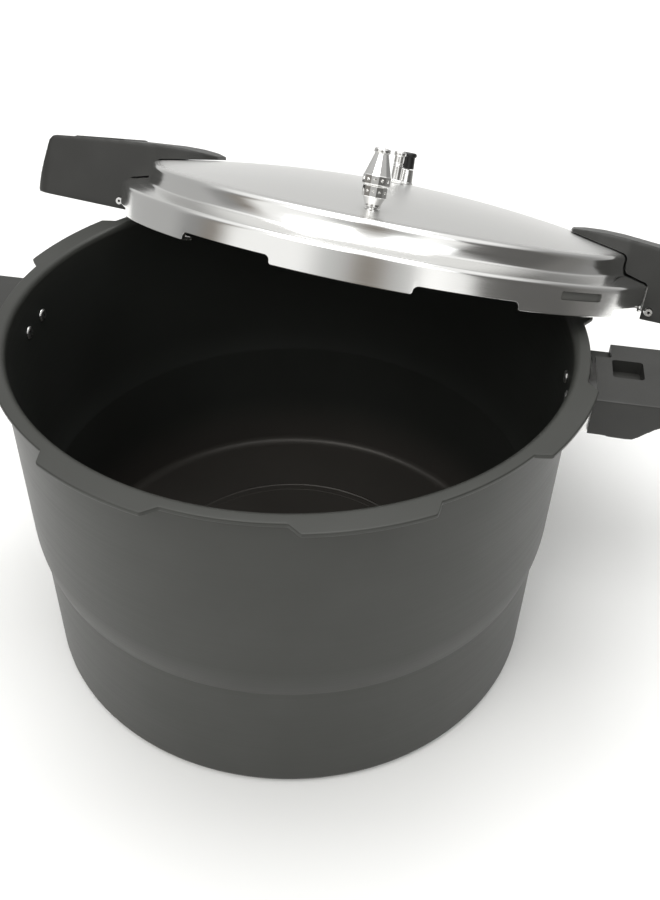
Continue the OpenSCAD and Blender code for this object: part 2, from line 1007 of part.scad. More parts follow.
pot_shell();
pot_bracket_left();
pot_bracket_right();
pot_rivets();
pot_handle_left();
pot_handle_right();
pot_handle_screws();
pot_handle_nuts();
lid_shell();
gasket();
lid_bracket_left();
lid_bracket_right();
lid_rivets();
lid_handle_left();
lid_handle_right();
lid_handle_cap_left();
lid_handle_cap_right();
lid_handle_screws();
vent_pipe();
vent_seal();
vent_nut();
vent_strainer();
weight_body();
weight_base();
weight_needle();
safety_body();
safety_head();
safety_ball();
safety_spring();
safety_seal();
safety_nut();
float_sleeve();
float_seal();
float_nut();
float_pin();
float_cap();
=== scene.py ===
import json
import math
import bmesh
import bpy
from mathutils import Matrix, Vector


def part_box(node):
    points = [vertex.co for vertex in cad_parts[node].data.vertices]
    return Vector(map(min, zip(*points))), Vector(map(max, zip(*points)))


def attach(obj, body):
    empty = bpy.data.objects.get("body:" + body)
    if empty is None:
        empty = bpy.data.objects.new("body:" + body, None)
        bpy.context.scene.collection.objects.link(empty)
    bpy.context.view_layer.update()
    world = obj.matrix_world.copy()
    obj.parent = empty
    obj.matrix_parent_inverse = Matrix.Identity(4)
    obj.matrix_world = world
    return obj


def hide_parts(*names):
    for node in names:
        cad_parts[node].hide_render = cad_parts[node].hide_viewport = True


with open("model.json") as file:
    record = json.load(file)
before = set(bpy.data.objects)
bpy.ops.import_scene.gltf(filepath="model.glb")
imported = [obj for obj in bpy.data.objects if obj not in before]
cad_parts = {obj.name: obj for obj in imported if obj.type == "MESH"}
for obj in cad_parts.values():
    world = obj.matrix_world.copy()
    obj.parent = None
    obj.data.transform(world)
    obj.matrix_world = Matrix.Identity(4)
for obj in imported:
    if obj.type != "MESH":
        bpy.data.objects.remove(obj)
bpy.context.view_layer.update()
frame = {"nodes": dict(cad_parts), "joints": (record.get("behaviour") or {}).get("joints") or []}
JOINT = {j["name"]: j for j in frame["joints"]}
MM = 0.001
pi = math.pi

# ------------------------------------------------------------------ frames
axis_n = Vector(JOINT["lid_turn"]["axis"]).normalized()
ball_c = Vector(JOINT["lid_turn"]["pos_m"])
DOME_H = 49.0
LID_O = ball_c - axis_n * (DOME_H + 5) * MM
LID = Matrix.Translation(LID_O) @ Vector((0, 0, 1)).rotation_difference(axis_n).to_matrix().to_4x4()
LID_MM = LID @ Matrix.Scale(MM, 4)
POT_MM = Matrix.Scale(MM, 4)
POT_AZ = -11.5
TURN = JOINT["lid_turn"]["range_deg"][1]
LID_AZ = POT_AZ - TURN
RIM_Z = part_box("pot_shell")[1].z / MM


def turned(m, deg):
    return m @ Matrix.Rotation(math.radians(deg), 4, "Z")


# ------------------------------------------------------------------ mesh helpers
def finish_mesh(me, sharp=32, mat=None):
    bm = bmesh.new()
    bm.from_mesh(me)
    for f in bm.faces:
        f.smooth = True
    lim = math.radians(sharp)
    for e in bm.edges:
        e.smooth = not (len(e.link_faces) == 2 and e.calc_face_angle(0) > lim)
    bm.to_mesh(me)
    bm.free()
    if mat is not None:
        me.materials.clear()
        me.materials.append(mat)


def new_object(name, me, matrix=None):
    if matrix is not None:
        me.transform(matrix)
    o = bpy.data.objects.new(name, me)
    bpy.context.scene.collection.objects.link(o)
    return o


def mesh_from(name, verts, faces):
    me = bpy.data.meshes.new(name)
    me.from_pydata([tuple(v) for v in verts], [], faces)
    bm = bmesh.new()
    bm.from_mesh(me)
    bmesh.ops.remove_doubles(bm, verts=bm.verts, dist=1e-5)
    bmesh.ops.dissolve_degenerate(bm, edges=bm.edges, dist=1e-6)
    bmesh.ops.recalc_face_normals(bm, faces=bm.faces)
    bm.to_mesh(me)
    bm.free()
    return me


def rounded(corners, closed=True):
    """corners are (x, z, radius, steps); every corner with a radius becomes an arc."""
    out = []
    n = len(corners)
    for i, c in enumerate(corners):
        p = Vector(c[:2])
        r = c[2] if len(c) > 2 else 0
        steps = c[3] if len(c) > 3 else 5
        if r <= 0 or (not closed and i in (0, n - 1)):
            out.append(p)
            continue
        a = Vector(corners[i - 1][:2]) - p
        b = Vector(corners[(i + 1) % n][:2]) - p
        la, lb = a.length, b.length
        a.normalize()
        b.normalize()
        ang = a.angle(b)
        t = min(r / math.tan(ang / 2), la * 0.49, lb * 0.49)
        rr = t * math.tan(ang / 2)
        c0 = p + (a + b).normalized() * (rr / math.sin(ang / 2))
        v0, v1 = (p + a * t) - c0, (p + b * t) - c0
        sweep = v0.angle_signed(v1)
        for k in range(steps + 1):
            out.append(c0 + Matrix.Rotation(-sweep * k / steps, 2) @ v0)
    return out


def arc(cx, cz, r, a0, a1, steps):
    return [Vector((cx + r * math.cos(math.radians(a0 + (a1 - a0) * k / steps)),
                    cz + r * math.sin(math.radians(a0 + (a1 - a0) * k / steps)))) for k in range(steps + 1)]


def ring_mesh(name, thetas, outline_at, full=True):
    """A closed outline carried round the axis; outline_at(theta) always has the same number of points."""
    verts, faces = [], []
    m = None
    for t in thetas:
        pts = outline_at(t)
        m = len(pts)
        c, s = math.cos(math.radians(t)), math.sin(math.radians(t))
        verts += [(p[0] * c, p[0] * s, p[1]) for p in pts]
    n = len(thetas)
    for i in range(n if full else n - 1):
        j = (i + 1) % n
        for k in range(m):
            q = (k + 1) % m
            faces.append((i * m + k, j * m + k, j * m + q, i * m + q))
    if not full:
        faces.append(tuple(range(m)))
        faces.append(tuple((n - 1) * m + k for k in reversed(range(m))))
    return mesh_from(name, verts, faces)


def lathe(name, outline, matrix, segs=96, sharp=32, mat=None, flat=False):
    me = ring_mesh(name, [360 * i / segs for i in range(segs)], lambda t: outline)
    o = new_object(name, me, matrix)
    finish_mesh(o.data, sharp, mat)
    if flat:
        for p in o.data.polygons:
            p.use_smooth = False
    return o


def prism(name, pts, z0, z1, plane="XY"):
    """pts pushed from z0 to z1 along the plane's normal; plane XZ is pushed along Y."""
    n = len(pts)
    if plane == "XY":
        verts = [(p[0], p[1], z0) for p in pts] + [(p[0], p[1], z1) for p in pts]
    else:
        verts = [(p[0], z0, p[1]) for p in pts] + [(p[0], z1, p[1]) for p in pts]
    faces = [tuple(range(n)), tuple(reversed(range(n, 2 * n)))]
    faces += [(k, (k + 1) % n, n + (k + 1) % n, n + k) for k in range(n)]
    return new_object(name, mesh_from(name, verts, faces))


def rect(x0, x1, y0, y1, r=0.0, steps=4):
    return rounded([(x0, y0, r, steps), (x1, y0, r, steps), (x1, y1, r, steps), (x0, y1, r, steps)])


def bake(o):
    """The object's modifiers, applied to its mesh."""
    bpy.context.view_layer.update()
    dg = bpy.context.evaluated_depsgraph_get()
    me = bpy.data.meshes.new_from_object(o.evaluated_get(dg))
    o.modifiers.clear()
    o.data = me
    return o


def drop(*objs):
    for o in objs:
        bpy.data.objects.remove(o)


def combine(o, other, how, keep=False):
    m = o.modifiers.new("b", "BOOLEAN")
    m.operation = how
    m.object = other
    m.solver = "EXACT"
    bake(o)
    if not keep:
        drop(other)
    return o


def soften(o, voxel, rounds, factor=0.5):
    m = o.modifiers.new("r", "REMESH")
    m.mode = "VOXEL"
    m.voxel_size = voxel
    s = o.modifiers.new("s", "SMOOTH")
    s.factor = factor
    s.iterations = rounds
    return bake(o)


def bevelled(o, width, segs=2, angle=35):
    m = o.modifiers.new("v", "BEVEL")
    m.width = width
    m.segments = segs
    m.limit_method = "ANGLE"
    m.angle_limit = math.radians(angle)
    m.harden_normals = False
    return bake(o)


def settle(o, mat, matrix=None, sharp=32, weighted=True):
    if matrix is not None:
        o.data.transform(matrix)
    finish_mesh(o.data, sharp, mat)
    if weighted:
        w = o.modifiers.new("w", "WEIGHTED_NORMAL")
        w.keep_sharp = True
    return o


def tooled(node, mat, width=0.35, name=None, segs=2):
    """A copy of a turned or pressed CAD piece with its edges broken."""
    me = frame["nodes"][node].data.copy()
    o = new_object(name or "v_" + node, me)
    bm = bmesh.new()
    bm.from_mesh(me)
    bmesh.ops.remove_doubles(bm, verts=bm.verts, dist=2e-6)
    bmesh.ops.dissolve_limit(bm, angle_limit=math.radians(0.6), verts=bm.verts, edges=bm.edges)
    bm.to_mesh(me)
    bm.free()
    bevelled(o, width * MM, segs)
    return settle(o, mat)


def hand_over(o, body, slot, *nodes):
    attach(o, body)
    if nodes:
        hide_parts(*nodes)
    return o


# ------------------------------------------------------------------ materials
def material(name):
    m = bpy.data.materials.new(name)
    m.use_nodes = True
    nt = m.node_tree
    nt.nodes.clear()
    out = nt.nodes.new("ShaderNodeOutputMaterial")
    b = nt.nodes.new("ShaderNodeBsdfPrincipled")
    nt.links.new(b.outputs[0], out.inputs[0])
    return m, nt, b


def node(nt, kind, **values):
    n = nt.nodes.new(kind)
    for k, v in values.items():
        if k in n.inputs:
            n.inputs[k].default_value = v
        else:
            setattr(n, k, v)
    return n


def coords(nt, scale=(1, 1, 1), space="Object"):
    t = nt.nodes.new("ShaderNodeTexCoord")
    m = nt.nodes.new("ShaderNodeMapping")
    m.inputs["Scale"].default_value = scale
    nt.links.new(t.outputs[space], m.inputs["Vector"])
    return m


def ramp(nt, stops):
    r = nt.nodes.new("ShaderNodeValToRGB")
    els = r.color_ramp.elements
    while len(els) < len(stops):
        els.new(0.5)
    for e, (p, c) in zip(els, stops):
        e.position = p
        e.color = c if len(c) == 4 else (*c, 1)
    return r


def grey(v):
    return (v, v, v, 1)


def noise(nt, vec, scale, detail=4, rough=0.5):
    n = node(nt, "ShaderNodeTexNoise", Scale=scale, Detail=detail, Roughness=rough)
    nt.links.new(vec.outputs[0], n.inputs["Vector"])
    return n


def bump(nt, source, strength, distance):
    b = node(nt, "ShaderNodeBump", Strength=strength, Distance=distance)
    nt.links.new(source, b.inputs["Height"])
    return b


def blotched(nt, b, vec, scale, lo, hi, socket="Base Color", detail=4):
    n = noise(nt, vec, scale, detail)
    r = ramp(nt, [(0.3, lo), (0.7, hi)])
    nt.links.new(n.outputs[0], r.inputs[0])
    nt.links.new(r.outputs[0], b.inputs[socket])
    return r


def mat_anodised():
    m, nt, b = material("mat_anodised")
    b.inputs["Metallic"].default_value = 0.25
    b.inputs["Specular IOR Level"].default_value = 0.4
    vec = coords(nt)
    # colour: green-grey outside, brown-black inside
    sep = node(nt, "ShaderNodeSeparateXYZ")
    nt.links.new(vec.outputs[0], sep.inputs[0])
    xy = node(nt, "ShaderNodeCombineXYZ")
    nt.links.new(sep.outputs["X"], xy.inputs["X"])
    nt.links.new(sep.outputs["Y"], xy.inputs["Y"])
    rad = node(nt, "ShaderNodeVectorMath", operation="LENGTH")
    nt.links.new(xy.outputs[0], rad.inputs[0])
    inside = node(nt, "ShaderNodeAttribute", attribute_name="inside")
    mix = node(nt, "ShaderNodeMix", data_type="RGBA")
    nt.links.new(inside.outputs["Fac"], mix.inputs[0])
    n1 = noise(nt, vec, 26, 5)
    r1 = ramp(nt, [(0.3, (0.036, 0.037, 0.033)), (0.7, (0.041, 0.042, 0.038))])
    nt.links.new(n1.outputs[0], r1.inputs[0])
    n2 = noise(nt, vec, 14, 5)
    r2 = ramp(nt, [(0.3, (0.064, 0.059, 0.053)), (0.7, (0.075, 0.069, 0.062))])
    nt.links.new(n2.outputs[0], r2.inputs[0])
    nt.links.new(r1.outputs[0], mix.inputs[6])
    r3 = ramp(nt, [(0.3, (0.030, 0.032, 0.029)), (0.7, (0.036, 0.038, 0.035))])
    nt.links.new(n2.outputs[0], r3.inputs[0])
    deep = node(nt, "ShaderNodeMapRange", interpolation_type="SMOOTHSTEP")
    deep.inputs["From Min"].default_value = 0.006
    deep.inputs["From Max"].default_value = 0.06
    nt.links.new(sep.outputs["Z"], deep.inputs["Value"])
    inner = node(nt, "ShaderNodeMix", data_type="RGBA")
    nt.links.new(deep.outputs[0], inner.inputs[0])
    nt.links.new(r2.outputs[0], inner.inputs[6])
    nt.links.new(r3.outputs[0], inner.inputs[7])
    nt.links.new(inner.outputs[2], mix.inputs[7])
    nt.links.new(mix.outputs[2], b.inputs["Base Color"])
    # roughness: fine turning rings, very shallow
    ring = node(nt, "ShaderNodeTexNoise", Scale=1.0, Detail=3.0)
    cv = node(nt, "ShaderNodeCombineXYZ")
    sc = node(nt, "ShaderNodeMath", operation="MULTIPLY")
    sc.inputs[1].default_value = 900
    nt.links.new(sep.outputs["Z"], sc.inputs[0])
    sr = node(nt, "ShaderNodeMath", operation="MULTIPLY")
    sr.inputs[1].default_value = 900
    nt.links.new(rad.outputs["Value"], sr.inputs[0])
    nt.links.new(sc.outputs[0], cv.inputs["X"])
    nt.links.new(sr.outputs[0], cv.inputs["Y"])
    nt.links.new(cv.outputs[0], ring.inputs["Vector"])
    rr = ramp(nt, [(0.2, grey(0.38)), (0.8, grey(0.45))])
    nt.links.new(ring.outputs[0], rr.inputs[0])
    nt.links.new(rr.outputs[0], b.inputs["Roughness"])
    fine = noise(nt, vec, 1800, 2)
    add = node(nt, "ShaderNodeMath", operation="ADD")
    nt.links.new(ring.outputs[0], add.inputs[0])
    nt.links.new(fine.outputs[0], add.inputs[1])
    bp = bump(nt, add.outputs[0], 0.12, 0.0002)
    nt.links.new(bp.outputs[0], b.inputs["Normal"])
    return m


def mat_polished(name="mat_polished", lid=True, base=0.80, lo=0.10, hi=0.20, dome_rough=0.36):
    """Polished metal with rings of fine polishing lines about the lid's axis."""
    m, nt, b = material(name)
    b.inputs["Metallic"].default_value = 1.0
    vec = coords(nt)
    if lid:
        sub = node(nt, "ShaderNodeVectorMath", operation="SUBTRACT")
        sub.inputs[1].default_value = LID_O
        nt.links.new(vec.outputs[0], sub.inputs[0])
        dot = node(nt, "ShaderNodeVectorMath", operation="DOT_PRODUCT")
        dot.inputs[1].default_value = axis_n
        nt.links.new(sub.outputs[0], dot.inputs[0])
        crs = node(nt, "ShaderNodeVectorMath", operation="CROSS_PRODUCT")
        crs.inputs[1].default_value = axis_n
        nt.links.new(sub.outputs[0], crs.inputs[0])
        ln = node(nt, "ShaderNodeVectorMath", operation="LENGTH")
        nt.links.new(crs.outputs[0], ln.inputs[0])
        a = node(nt, "ShaderNodeMath", operation="MULTIPLY")
        a.inputs[1].default_value = 1500
        nt.links.new(dot.outputs["Value"], a.inputs[0])
        c = node(nt, "ShaderNodeMath", operation="MULTIPLY")
        c.inputs[1].default_value = 1100
        nt.links.new(ln.outputs["Value"], c.inputs[0])
        cv = node(nt, "ShaderNodeCombineXYZ")
        nt.links.new(a.outputs[0], cv.inputs["X"])
        nt.links.new(c.outputs[0], cv.inputs["Y"])
        lines = node(nt, "ShaderNodeTexNoise", Scale=1.0, Detail=2.0)
        nt.links.new(cv.outputs[0], lines.inputs["Vector"])
        # the dome is satin, the skirts are bright
        zone = node(nt, "ShaderNodeMapRange")
        zone.inputs["From Min"].default_value = 0.0335
        zone.inputs["From Max"].default_value = 0.0350
        nt.links.new(dot.outputs["Value"], zone.inputs["Value"])
        r1 = ramp(nt, [(0.25, grey(lo)), (0.75, grey(hi))])
        nt.links.new(lines.outputs[0], r1.inputs[0])
        r2 = ramp(nt, [(0.25, grey(dome_rough - 0.02)), (0.75, grey(dome_rough + 0.03))])
        nt.links.new(lines.outputs[0], r2.inputs[0])
        mx = node(nt, "ShaderNodeMix", data_type="RGBA")
        nt.links.new(zone.outputs[0], mx.inputs[0])
        nt.links.new(r1.outputs[0], mx.inputs[6])
        nt.links.new(r2.outputs[0], mx.inputs[7])
        nt.links.new(mx.outputs[2], b.inputs["Roughness"])
        big = noise(nt, vec, 9, 3)
        ad = node(nt, "ShaderNodeMath", operation="ADD")
        nt.links.new(lines.outputs[0], ad.inputs[0])
        mu = node(nt, "ShaderNodeMath", operation="MULTIPLY")
        mu.inputs[1].default_value = 14.0
        nt.links.new(big.outputs[0], mu.inputs[0])
        nt.links.new(mu.outputs[0], ad.inputs[1])
        bp = bump(nt, ad.outputs[0], 0.10, 0.00008)
        nt.links.new(bp.outputs[0], b.inputs["Normal"])
        blotched(nt, b, vec, 18, (base * 0.985, base * 0.98, base * 0.965), (base, base * 0.998,
                                                            base * 0.985))
    else:
        n = noise(nt, vec, 420, 3)
        r = ramp(nt, [(0.3, grey(lo)), (0.7, grey(hi))])
        nt.links.new(n.outputs[0], r.inputs[0])
        nt.links.new(r.outputs[0], b.inputs["Roughness"])
        blotched(nt, b, vec, 60, (base * 0.96, base * 0.955, base * 0.94), (base, base * 0.995, base * 0.98))
        bp = bump(nt, n.outputs[0], 0.05, 0.0001)
        nt.links.new(bp.outputs[0], b.inputs["Normal"])
    return m


def mat_moulded(name, lo, hi, rough=(0.42, 0.52), grain=1500, strength=0.12, spec=0.4):
    m, nt, b = material(name)
    b.inputs["Specular IOR Level"].default_value = spec
    vec = coords(nt)
    blotched(nt, b, vec, 45, lo, hi, detail=6)
    n = noise(nt, vec, grain, 3, 0.6)
    r = ramp(nt, [(0.3, grey(rough[0])), (0.7, grey(rough[1]))])
    nt.links.new(n.outputs[0], r.inputs[0])
    nt.links.new(r.outputs[0], b.inputs["Roughness"])
    bp = bump(nt, n.outputs[0], strength, 0.0002)
    nt.links.new(bp.outputs[0], b.inputs["Normal"])
    return m


M_POT = mat_anodised()
M_LID = mat_polished()
M_BRIGHT = mat_polished("mat_bracket", False, 0.72, 0.22, 0.36)
M_STEEL = mat_polished("mat_fastener", False, 0.60, 0.28, 0.42)
M_VALVE = mat_polished("mat_valve", False, 0.78, 0.14, 0.24)
M_WEIGHT = mat_polished("mat_weight", False, 0.80, 0.05, 0.10)
M_PHENOL = mat_moulded("mat_phenolic", (0.022, 0.022, 0.020), (0.028, 0.028, 0.026))
M_RUBBER = mat_moulded("mat_seal", (0.10, 0.10, 0.095), (0.13, 0.13, 0.12), (0.55, 0.68), 900, 0.1, 0.35)
M_WASHER = mat_moulded("mat_washer", (0.018, 0.018, 0.018), (0.026, 0.026, 0.026), (0.55, 0.68), 900, 0.1,
                       0.35)
M_CAP = mat_moulded("mat_cap", (0.008, 0.008, 0.008), (0.012, 0.012, 0.012), (0.30, 0.40), 1200, 0.05)


# ------------------------------------------------------------------ pot
WALL, INNER, LOWER, LOWER_IN = 169.5, 166.0, 166.0, 162.5
LUG_R, REC_R, LUG_PHASE = 182.3, 175.3, 11.6
CREASE = 88.5


def flange_radius(t):
    """Radius of the flange: full on the lugs, straight ramps at their ends, small on the rest."""
    a = abs((t - LUG_PHASE + 22.5) % 45 - 22.5)
    if a <= 10.4:
        return LUG_R
    if a >= 12.4:
        return REC_R
    return LUG_R + (REC_R - LUG_R) * (a - 10.4) / 2.0


def flange_smooth(t):
    w = 0.22
    return (flange_radius(t - w) + 2 * flange_radius(t) + flange_radius(t + w)) / 4


def pot_outline(t):
    rf = flange_smooth(t)
    o = []
    o += rounded([(0.0, 0.0), (160.3, 0.0), (166.0, 5.7), (166.0, 20.0)], False)[:1]
    o += arc(160.3, 5.7, 5.7, -90, 0, 10)
    o += [Vector((LOWER, z)) for z in (20, 45, 70, 84, 87.6)]
    o += [Vector((LOWER - 0.12, 88.3))]
    th0 = math.degrees(math.asin(23.1 / 80.6))
    o += arc(WALL - 80.6, CREASE + 23.5, 80.6, -th0, 0, 14)
    o += [Vector((WALL, z)) for z in (140, 165, 190, 210, 224)]
    top = RIM_Z
    o += [Vector((WALL, top - 3.6)), Vector((WALL + 0.25, top - 3.0)), Vector((WALL + 0.9, top - 2.75))]
    o += [Vector((rf - 0.7, top - 2.75)), Vector((rf - 0.2, top - 2.5)), Vector((rf, top - 2.1))]
    o += arc(rf - 0.9, top - 0.9, 0.9, 0, 90, 4)
    o += [Vector((172.3, top))]
    o += arc(INNER + 4.0, top - 4.0, 4.0, 90, 180, 8)
    o += [Vector((INNER, z)) for z in (210, 185, 160, 140)]
    o += arc(INNER - 80.6, CREASE + 34.5, 80.6, 0, -th0, 14)
    o += [Vector((LOWER_IN, z)) for z in (98.6, 96, 70, 40, 20)]
    o += arc(LOWER_IN - 6.5, 11.0, 6.5, 0, -90, 10)
    o += [Vector((130, 4.5)), Vector((107.2, 4.5)), Vector((106.6, 4.6))]
    o += arc(105.5, 4.35, 0.95, 20, 160, 6)
    o += [Vector((104.4, 4.6)), Vector((103.8, 4.5)), Vector((100.6, 4.5)), Vector((100.0, 4.35)),
          Vector((99.7, 3.9))]
    o += [Vector((99.2, 3.8)), Vector((60, 3.8)), Vector((0, 3.8))]
    return o


def lug_thetas():
    ts = set()
    for i in range(8):
        c = LUG_PHASE + 45 * i
        for s in (-1, 1):
            for a in [9.9, 10.1, 10.2, 10.3, 10.4, 10.5, 10.62, 10.8, 11.1, 11.4, 11.7, 12.0, 12.18, 12.3,
                      12.4, 12.5,
                      12.6, 12.7, 12.9]:
                ts.add(round((c + s * a) % 360, 4))
    for i in range(720):
        t = i * 0.5
        if all(abs((t - u + 180) % 360 - 180) > 0.15 for u in ts if abs((t - u + 180) % 360 - 180) < 1):
            ts.add(round(t, 4))
    return sorted(ts)


pot_me = ring_mesh("v_pot_shell", lug_thetas(), pot_outline)
at = pot_me.attributes.new("inside", "FLOAT", "POINT")
for v in pot_me.vertices:
    r = math.hypot(v.co.x, v.co.y)
    z = v.co.z
    k = 0.0
    if z < RIM_Z - 3 and r < INNER + 0.6 and z > 1.2 and (r < LOWER_IN + 0.3 or z > 96):
        k = min(1.0, (RIM_Z - 3 - z) / 6)
    at.data[v.index].value = k
v_pot = new_object("v_pot_shell", pot_me, POT_MM)
settle(v_pot, M_POT, None, 40)
hand_over(v_pot, "pot", "pot_aluminium", "pot_shell")


# ------------------------------------------------------------------ lid
SK, SKI = 185.25, 183.1
TAB_PHASE, TAB_HALF, GAP_H = 30.8, 12.7, 4.8
HOOK_PHASE, HOOK_HALF = 34.1, 8.9
WIN_AZ, WIN_HALF, WIN_Z0, WIN_Z1 = 302.4, 5.6, 9.2, 14.2
DOME_R = (164.3 ** 2 + 14.8 ** 2) / (2 * 14.8)


def skirt_bottom(t, side=0):
    """Height of the skirt's lower edge at azimuth t; side settles the step itself."""
    a = (t - TAB_PHASE + 22.5) % 45 - 22.5
    d = (abs(a) - TAB_HALF) * math.radians(1) * SK
    if abs(d) < 1e-6:
        d = 1e-7 * side
    if d <= 0:
        return 0.0 if d < -1.5 else 1.5 - math.sqrt(max(0.0, 1.5 ** 2 - (1.5 + d) ** 2))
    return GAP_H if d > 3.2 else GAP_H - 3.2 + math.sqrt(max(0.0, 3.2 ** 2 - (3.2 - d) ** 2))


def lid_outline(zb):
    o = []
    o += arc(SK - 0.7, zb + 0.7, 0.7, -90, 0, 3)
    o += [Vector((SK, z)) for z in (9.2, 10.2, 11.2, 12.2, 13.2, 14.2)]
    o += arc(SK - 3.0, 15.6, 3.0, 0, 76, 6)
    o += rounded([(181.0, 18.86), (169.4, 21.8, 2.2, 5), (167.8, 27.0), (167.8, 27.5)], False)[:-1]
    o += [Vector((167.8, 30.6))]
    o += arc(164.3, 30.7, 3.5, 0, 74, 8)
    n = 26
    for k in range(1, n + 1):
        r = 163.4 * (1 - k / n)
        o.append(Vector((r, DOME_H - DOME_R + math.sqrt(DOME_R ** 2 - r * r))))
    ri = DOME_R - 2.2
    for k in range(0, n + 1):
        r = 160.0 * k / n
        o.append(Vector((r, DOME_H - DOME_R + math.sqrt(ri ** 2 - r * r))))
    o += [Vector((163.4, 31.2)), Vector((165.2, 29.8)), Vector((165.6, 27.0)), Vector((165.6, 21.0))]
    o += rounded([(165.7, 20.6), (167.3, 19.6, 1.2, 3), (180.0, 16.6, 0, 3), (182.2, 16.2)], False)
    o += [Vector((182.8, 15.7))]
    o += [Vector((SKI, z)) for z in (14.2, 13.2, 12.2, 11.2, 10.2, 9.2)]
    o += arc(SKI + 0.7, zb + 0.7, 0.7, 180, 270, 3)
    return o


def lid_thetas():
    ts = []
    for i in range(8):
        c = TAB_PHASE + 45 * i
        for s in (-1, 1):
            for a in (11.9, 12.15, 12.27, 12.35, 12.45, 12.55, 12.63, 12.68, 12.76, 12.85, 12.97, 13.1,
                      13.3, 13.55,
                      13.85, 14.2):
                ts.append((c + s * a, 0))
            ts.append((c + s * TAB_HALF, -1))
            ts.append((c + s * (TAB_HALF + 1e-4), 1))
    fine = [WIN_AZ - WIN_HALF - 0.5 + 0.25 * i for i in range(55)]
    for i in range(720):
        t = 0.5 * i
        if WIN_AZ - WIN_HALF - 0.7 < t < WIN_AZ + WIN_HALF + 0.7:
            continue
        if all(abs((t - u[0] + 180) % 360 - 180) > 0.12 for u in ts):
            ts.append((t, 0))
    ts += [(t, 0) for t in fine if all(abs((t - u[0] + 180) % 360 - 180) > 0.12 for u in ts)]
    return sorted((round(t % 360, 5), s) for t, s in ts)


def build_lid():
    cols = lid_thetas()
    verts, faces = [], []
    m = 0
    for t, side in cols:
        pts = lid_outline(skirt_bottom(t, side))
        m = len(pts)
        c, s = math.cos(math.radians(t)), math.sin(math.radians(t))
        verts += [(p[0] * c, p[0] * s, p[1]) for p in pts]
    n = len(cols)
    for i in range(n):
        j = (i + 1) % n
        for k in range(m):
            q = (k + 1) % m
            faces.append((i * m + k, j * m + k, j * m + q, i * m + q))
    me = bpy.data.meshes.new("v_lid_shell")
    me.from_pydata(verts, [], faces)
    bm = bmesh.new()
    bm.from_mesh(me)
    # the window in the skirt: cells out, then its two edges joined across the sheet
    half = math.radians(WIN_HALF) * SK
    zc, zh, rr = (WIN_Z0 + WIN_Z1) / 2, (WIN_Z1 - WIN_Z0) / 2, 1.3

    def flat(co):
        t = math.degrees(math.atan2(co.y, co.x)) % 360
        return math.radians(t - WIN_AZ) * SK, co.z - zc

    def inside(x, z):
        ax, az = abs(x), abs(z)
        if ax > half or az > zh:
            return False
        return ax < half - rr or az < zh - rr or math.hypot(ax - half + rr, az - zh + rr) < rr

    gone = []
    for f in bm.faces:
        co = f.calc_center_median()
        if math.hypot(co.x, co.y) > 180 and WIN_Z0 < co.z < WIN_Z1:
            if inside(*flat(co)):
                gone.append(f)
    bmesh.ops.delete(bm, geom=gone, context="FACES")
    edge = [e for e in bm.edges if len(e.link_faces) == 1]
    for v in {v for e in edge for v in e.verts}:
        x, z = flat(v.co)
        ax, az = abs(x), abs(z)
        if ax > half - rr and az > zh - rr:
            d = math.hypot(ax - half + rr, az - zh + rr) or 1
            nx, nz = half - rr + (ax - half + rr) / d * rr, zh - rr + (az - zh + rr) / d * rr
            r = math.hypot(v.co.x, v.co.y)
            t = math.radians(WIN_AZ) + math.copysign(nx, x) / SK
            v.co = Vector((r * math.cos(t), r * math.sin(t), zc + math.copysign(nz, z)))
    bmesh.ops.bridge_loops(bm, edges=edge)
    bmesh.ops.remove_doubles(bm, verts=bm.verts, dist=1e-5)
    bmesh.ops.dissolve_degenerate(bm, edges=bm.edges, dist=1e-6)
    bmesh.ops.recalc_face_normals(bm, faces=bm.faces)
    bm.to_mesh(me)
    bm.free()
    return me


lid_me = build_lid()
v_lid = new_object("v_lid_shell", lid_me)
# hooks turned inwards under each tab
hook_out = rounded([(176.25, 0.0, 0.5, 2), (183.6, 0.0, 0.2, 2), (183.6, 2.0, 0.2, 2), (176.25, 2.0, 0.5,
                                                            2)])
for i in range(8):
    c = HOOK_PHASE + 45 * i
    ts = [c - HOOK_HALF + 2 * HOOK_HALF * k / 24 for k in range(25)]
    hk = new_object("hook", ring_mesh("hook", ts, lambda t: hook_out, False))
    tmp = bmesh.new()
    tmp.from_mesh(v_lid.data)
    tmp.from_mesh(hk.data)
    tmp.to_mesh(v_lid.data)
    tmp.free()
    drop(hk)
settle(v_lid, M_LID, LID_MM, 40)
hand_over(v_lid, "lid", "lid_aluminium", "lid_shell")

# gasket with a lip groove
g_out = rounded([(168.3, 5.5, 0.8, 3), (182.7, 5.5, 1.0, 3), (182.7, 16.0, 1.2, 3), (168.3, 16.0, 0.8, 3),
                 (168.3, 12.2, 0.5, 2), (171.8, 12.8, 1.0, 3), (172.3, 10.4, 0.8, 3), (171.6, 8.7, 1.0, 3),
                 (168.3, 9.2, 0.5, 2)])
v_gasket = lathe("v_gasket", g_out, LID_MM, 256, 40, M_RUBBER)
hand_over(v_gasket, "gasket_ring", "seal_rubber", "gasket")


# ------------------------------------------------------------------ lid handles
H_W, H_END = 30.0, 250.0
L_W = 30.5


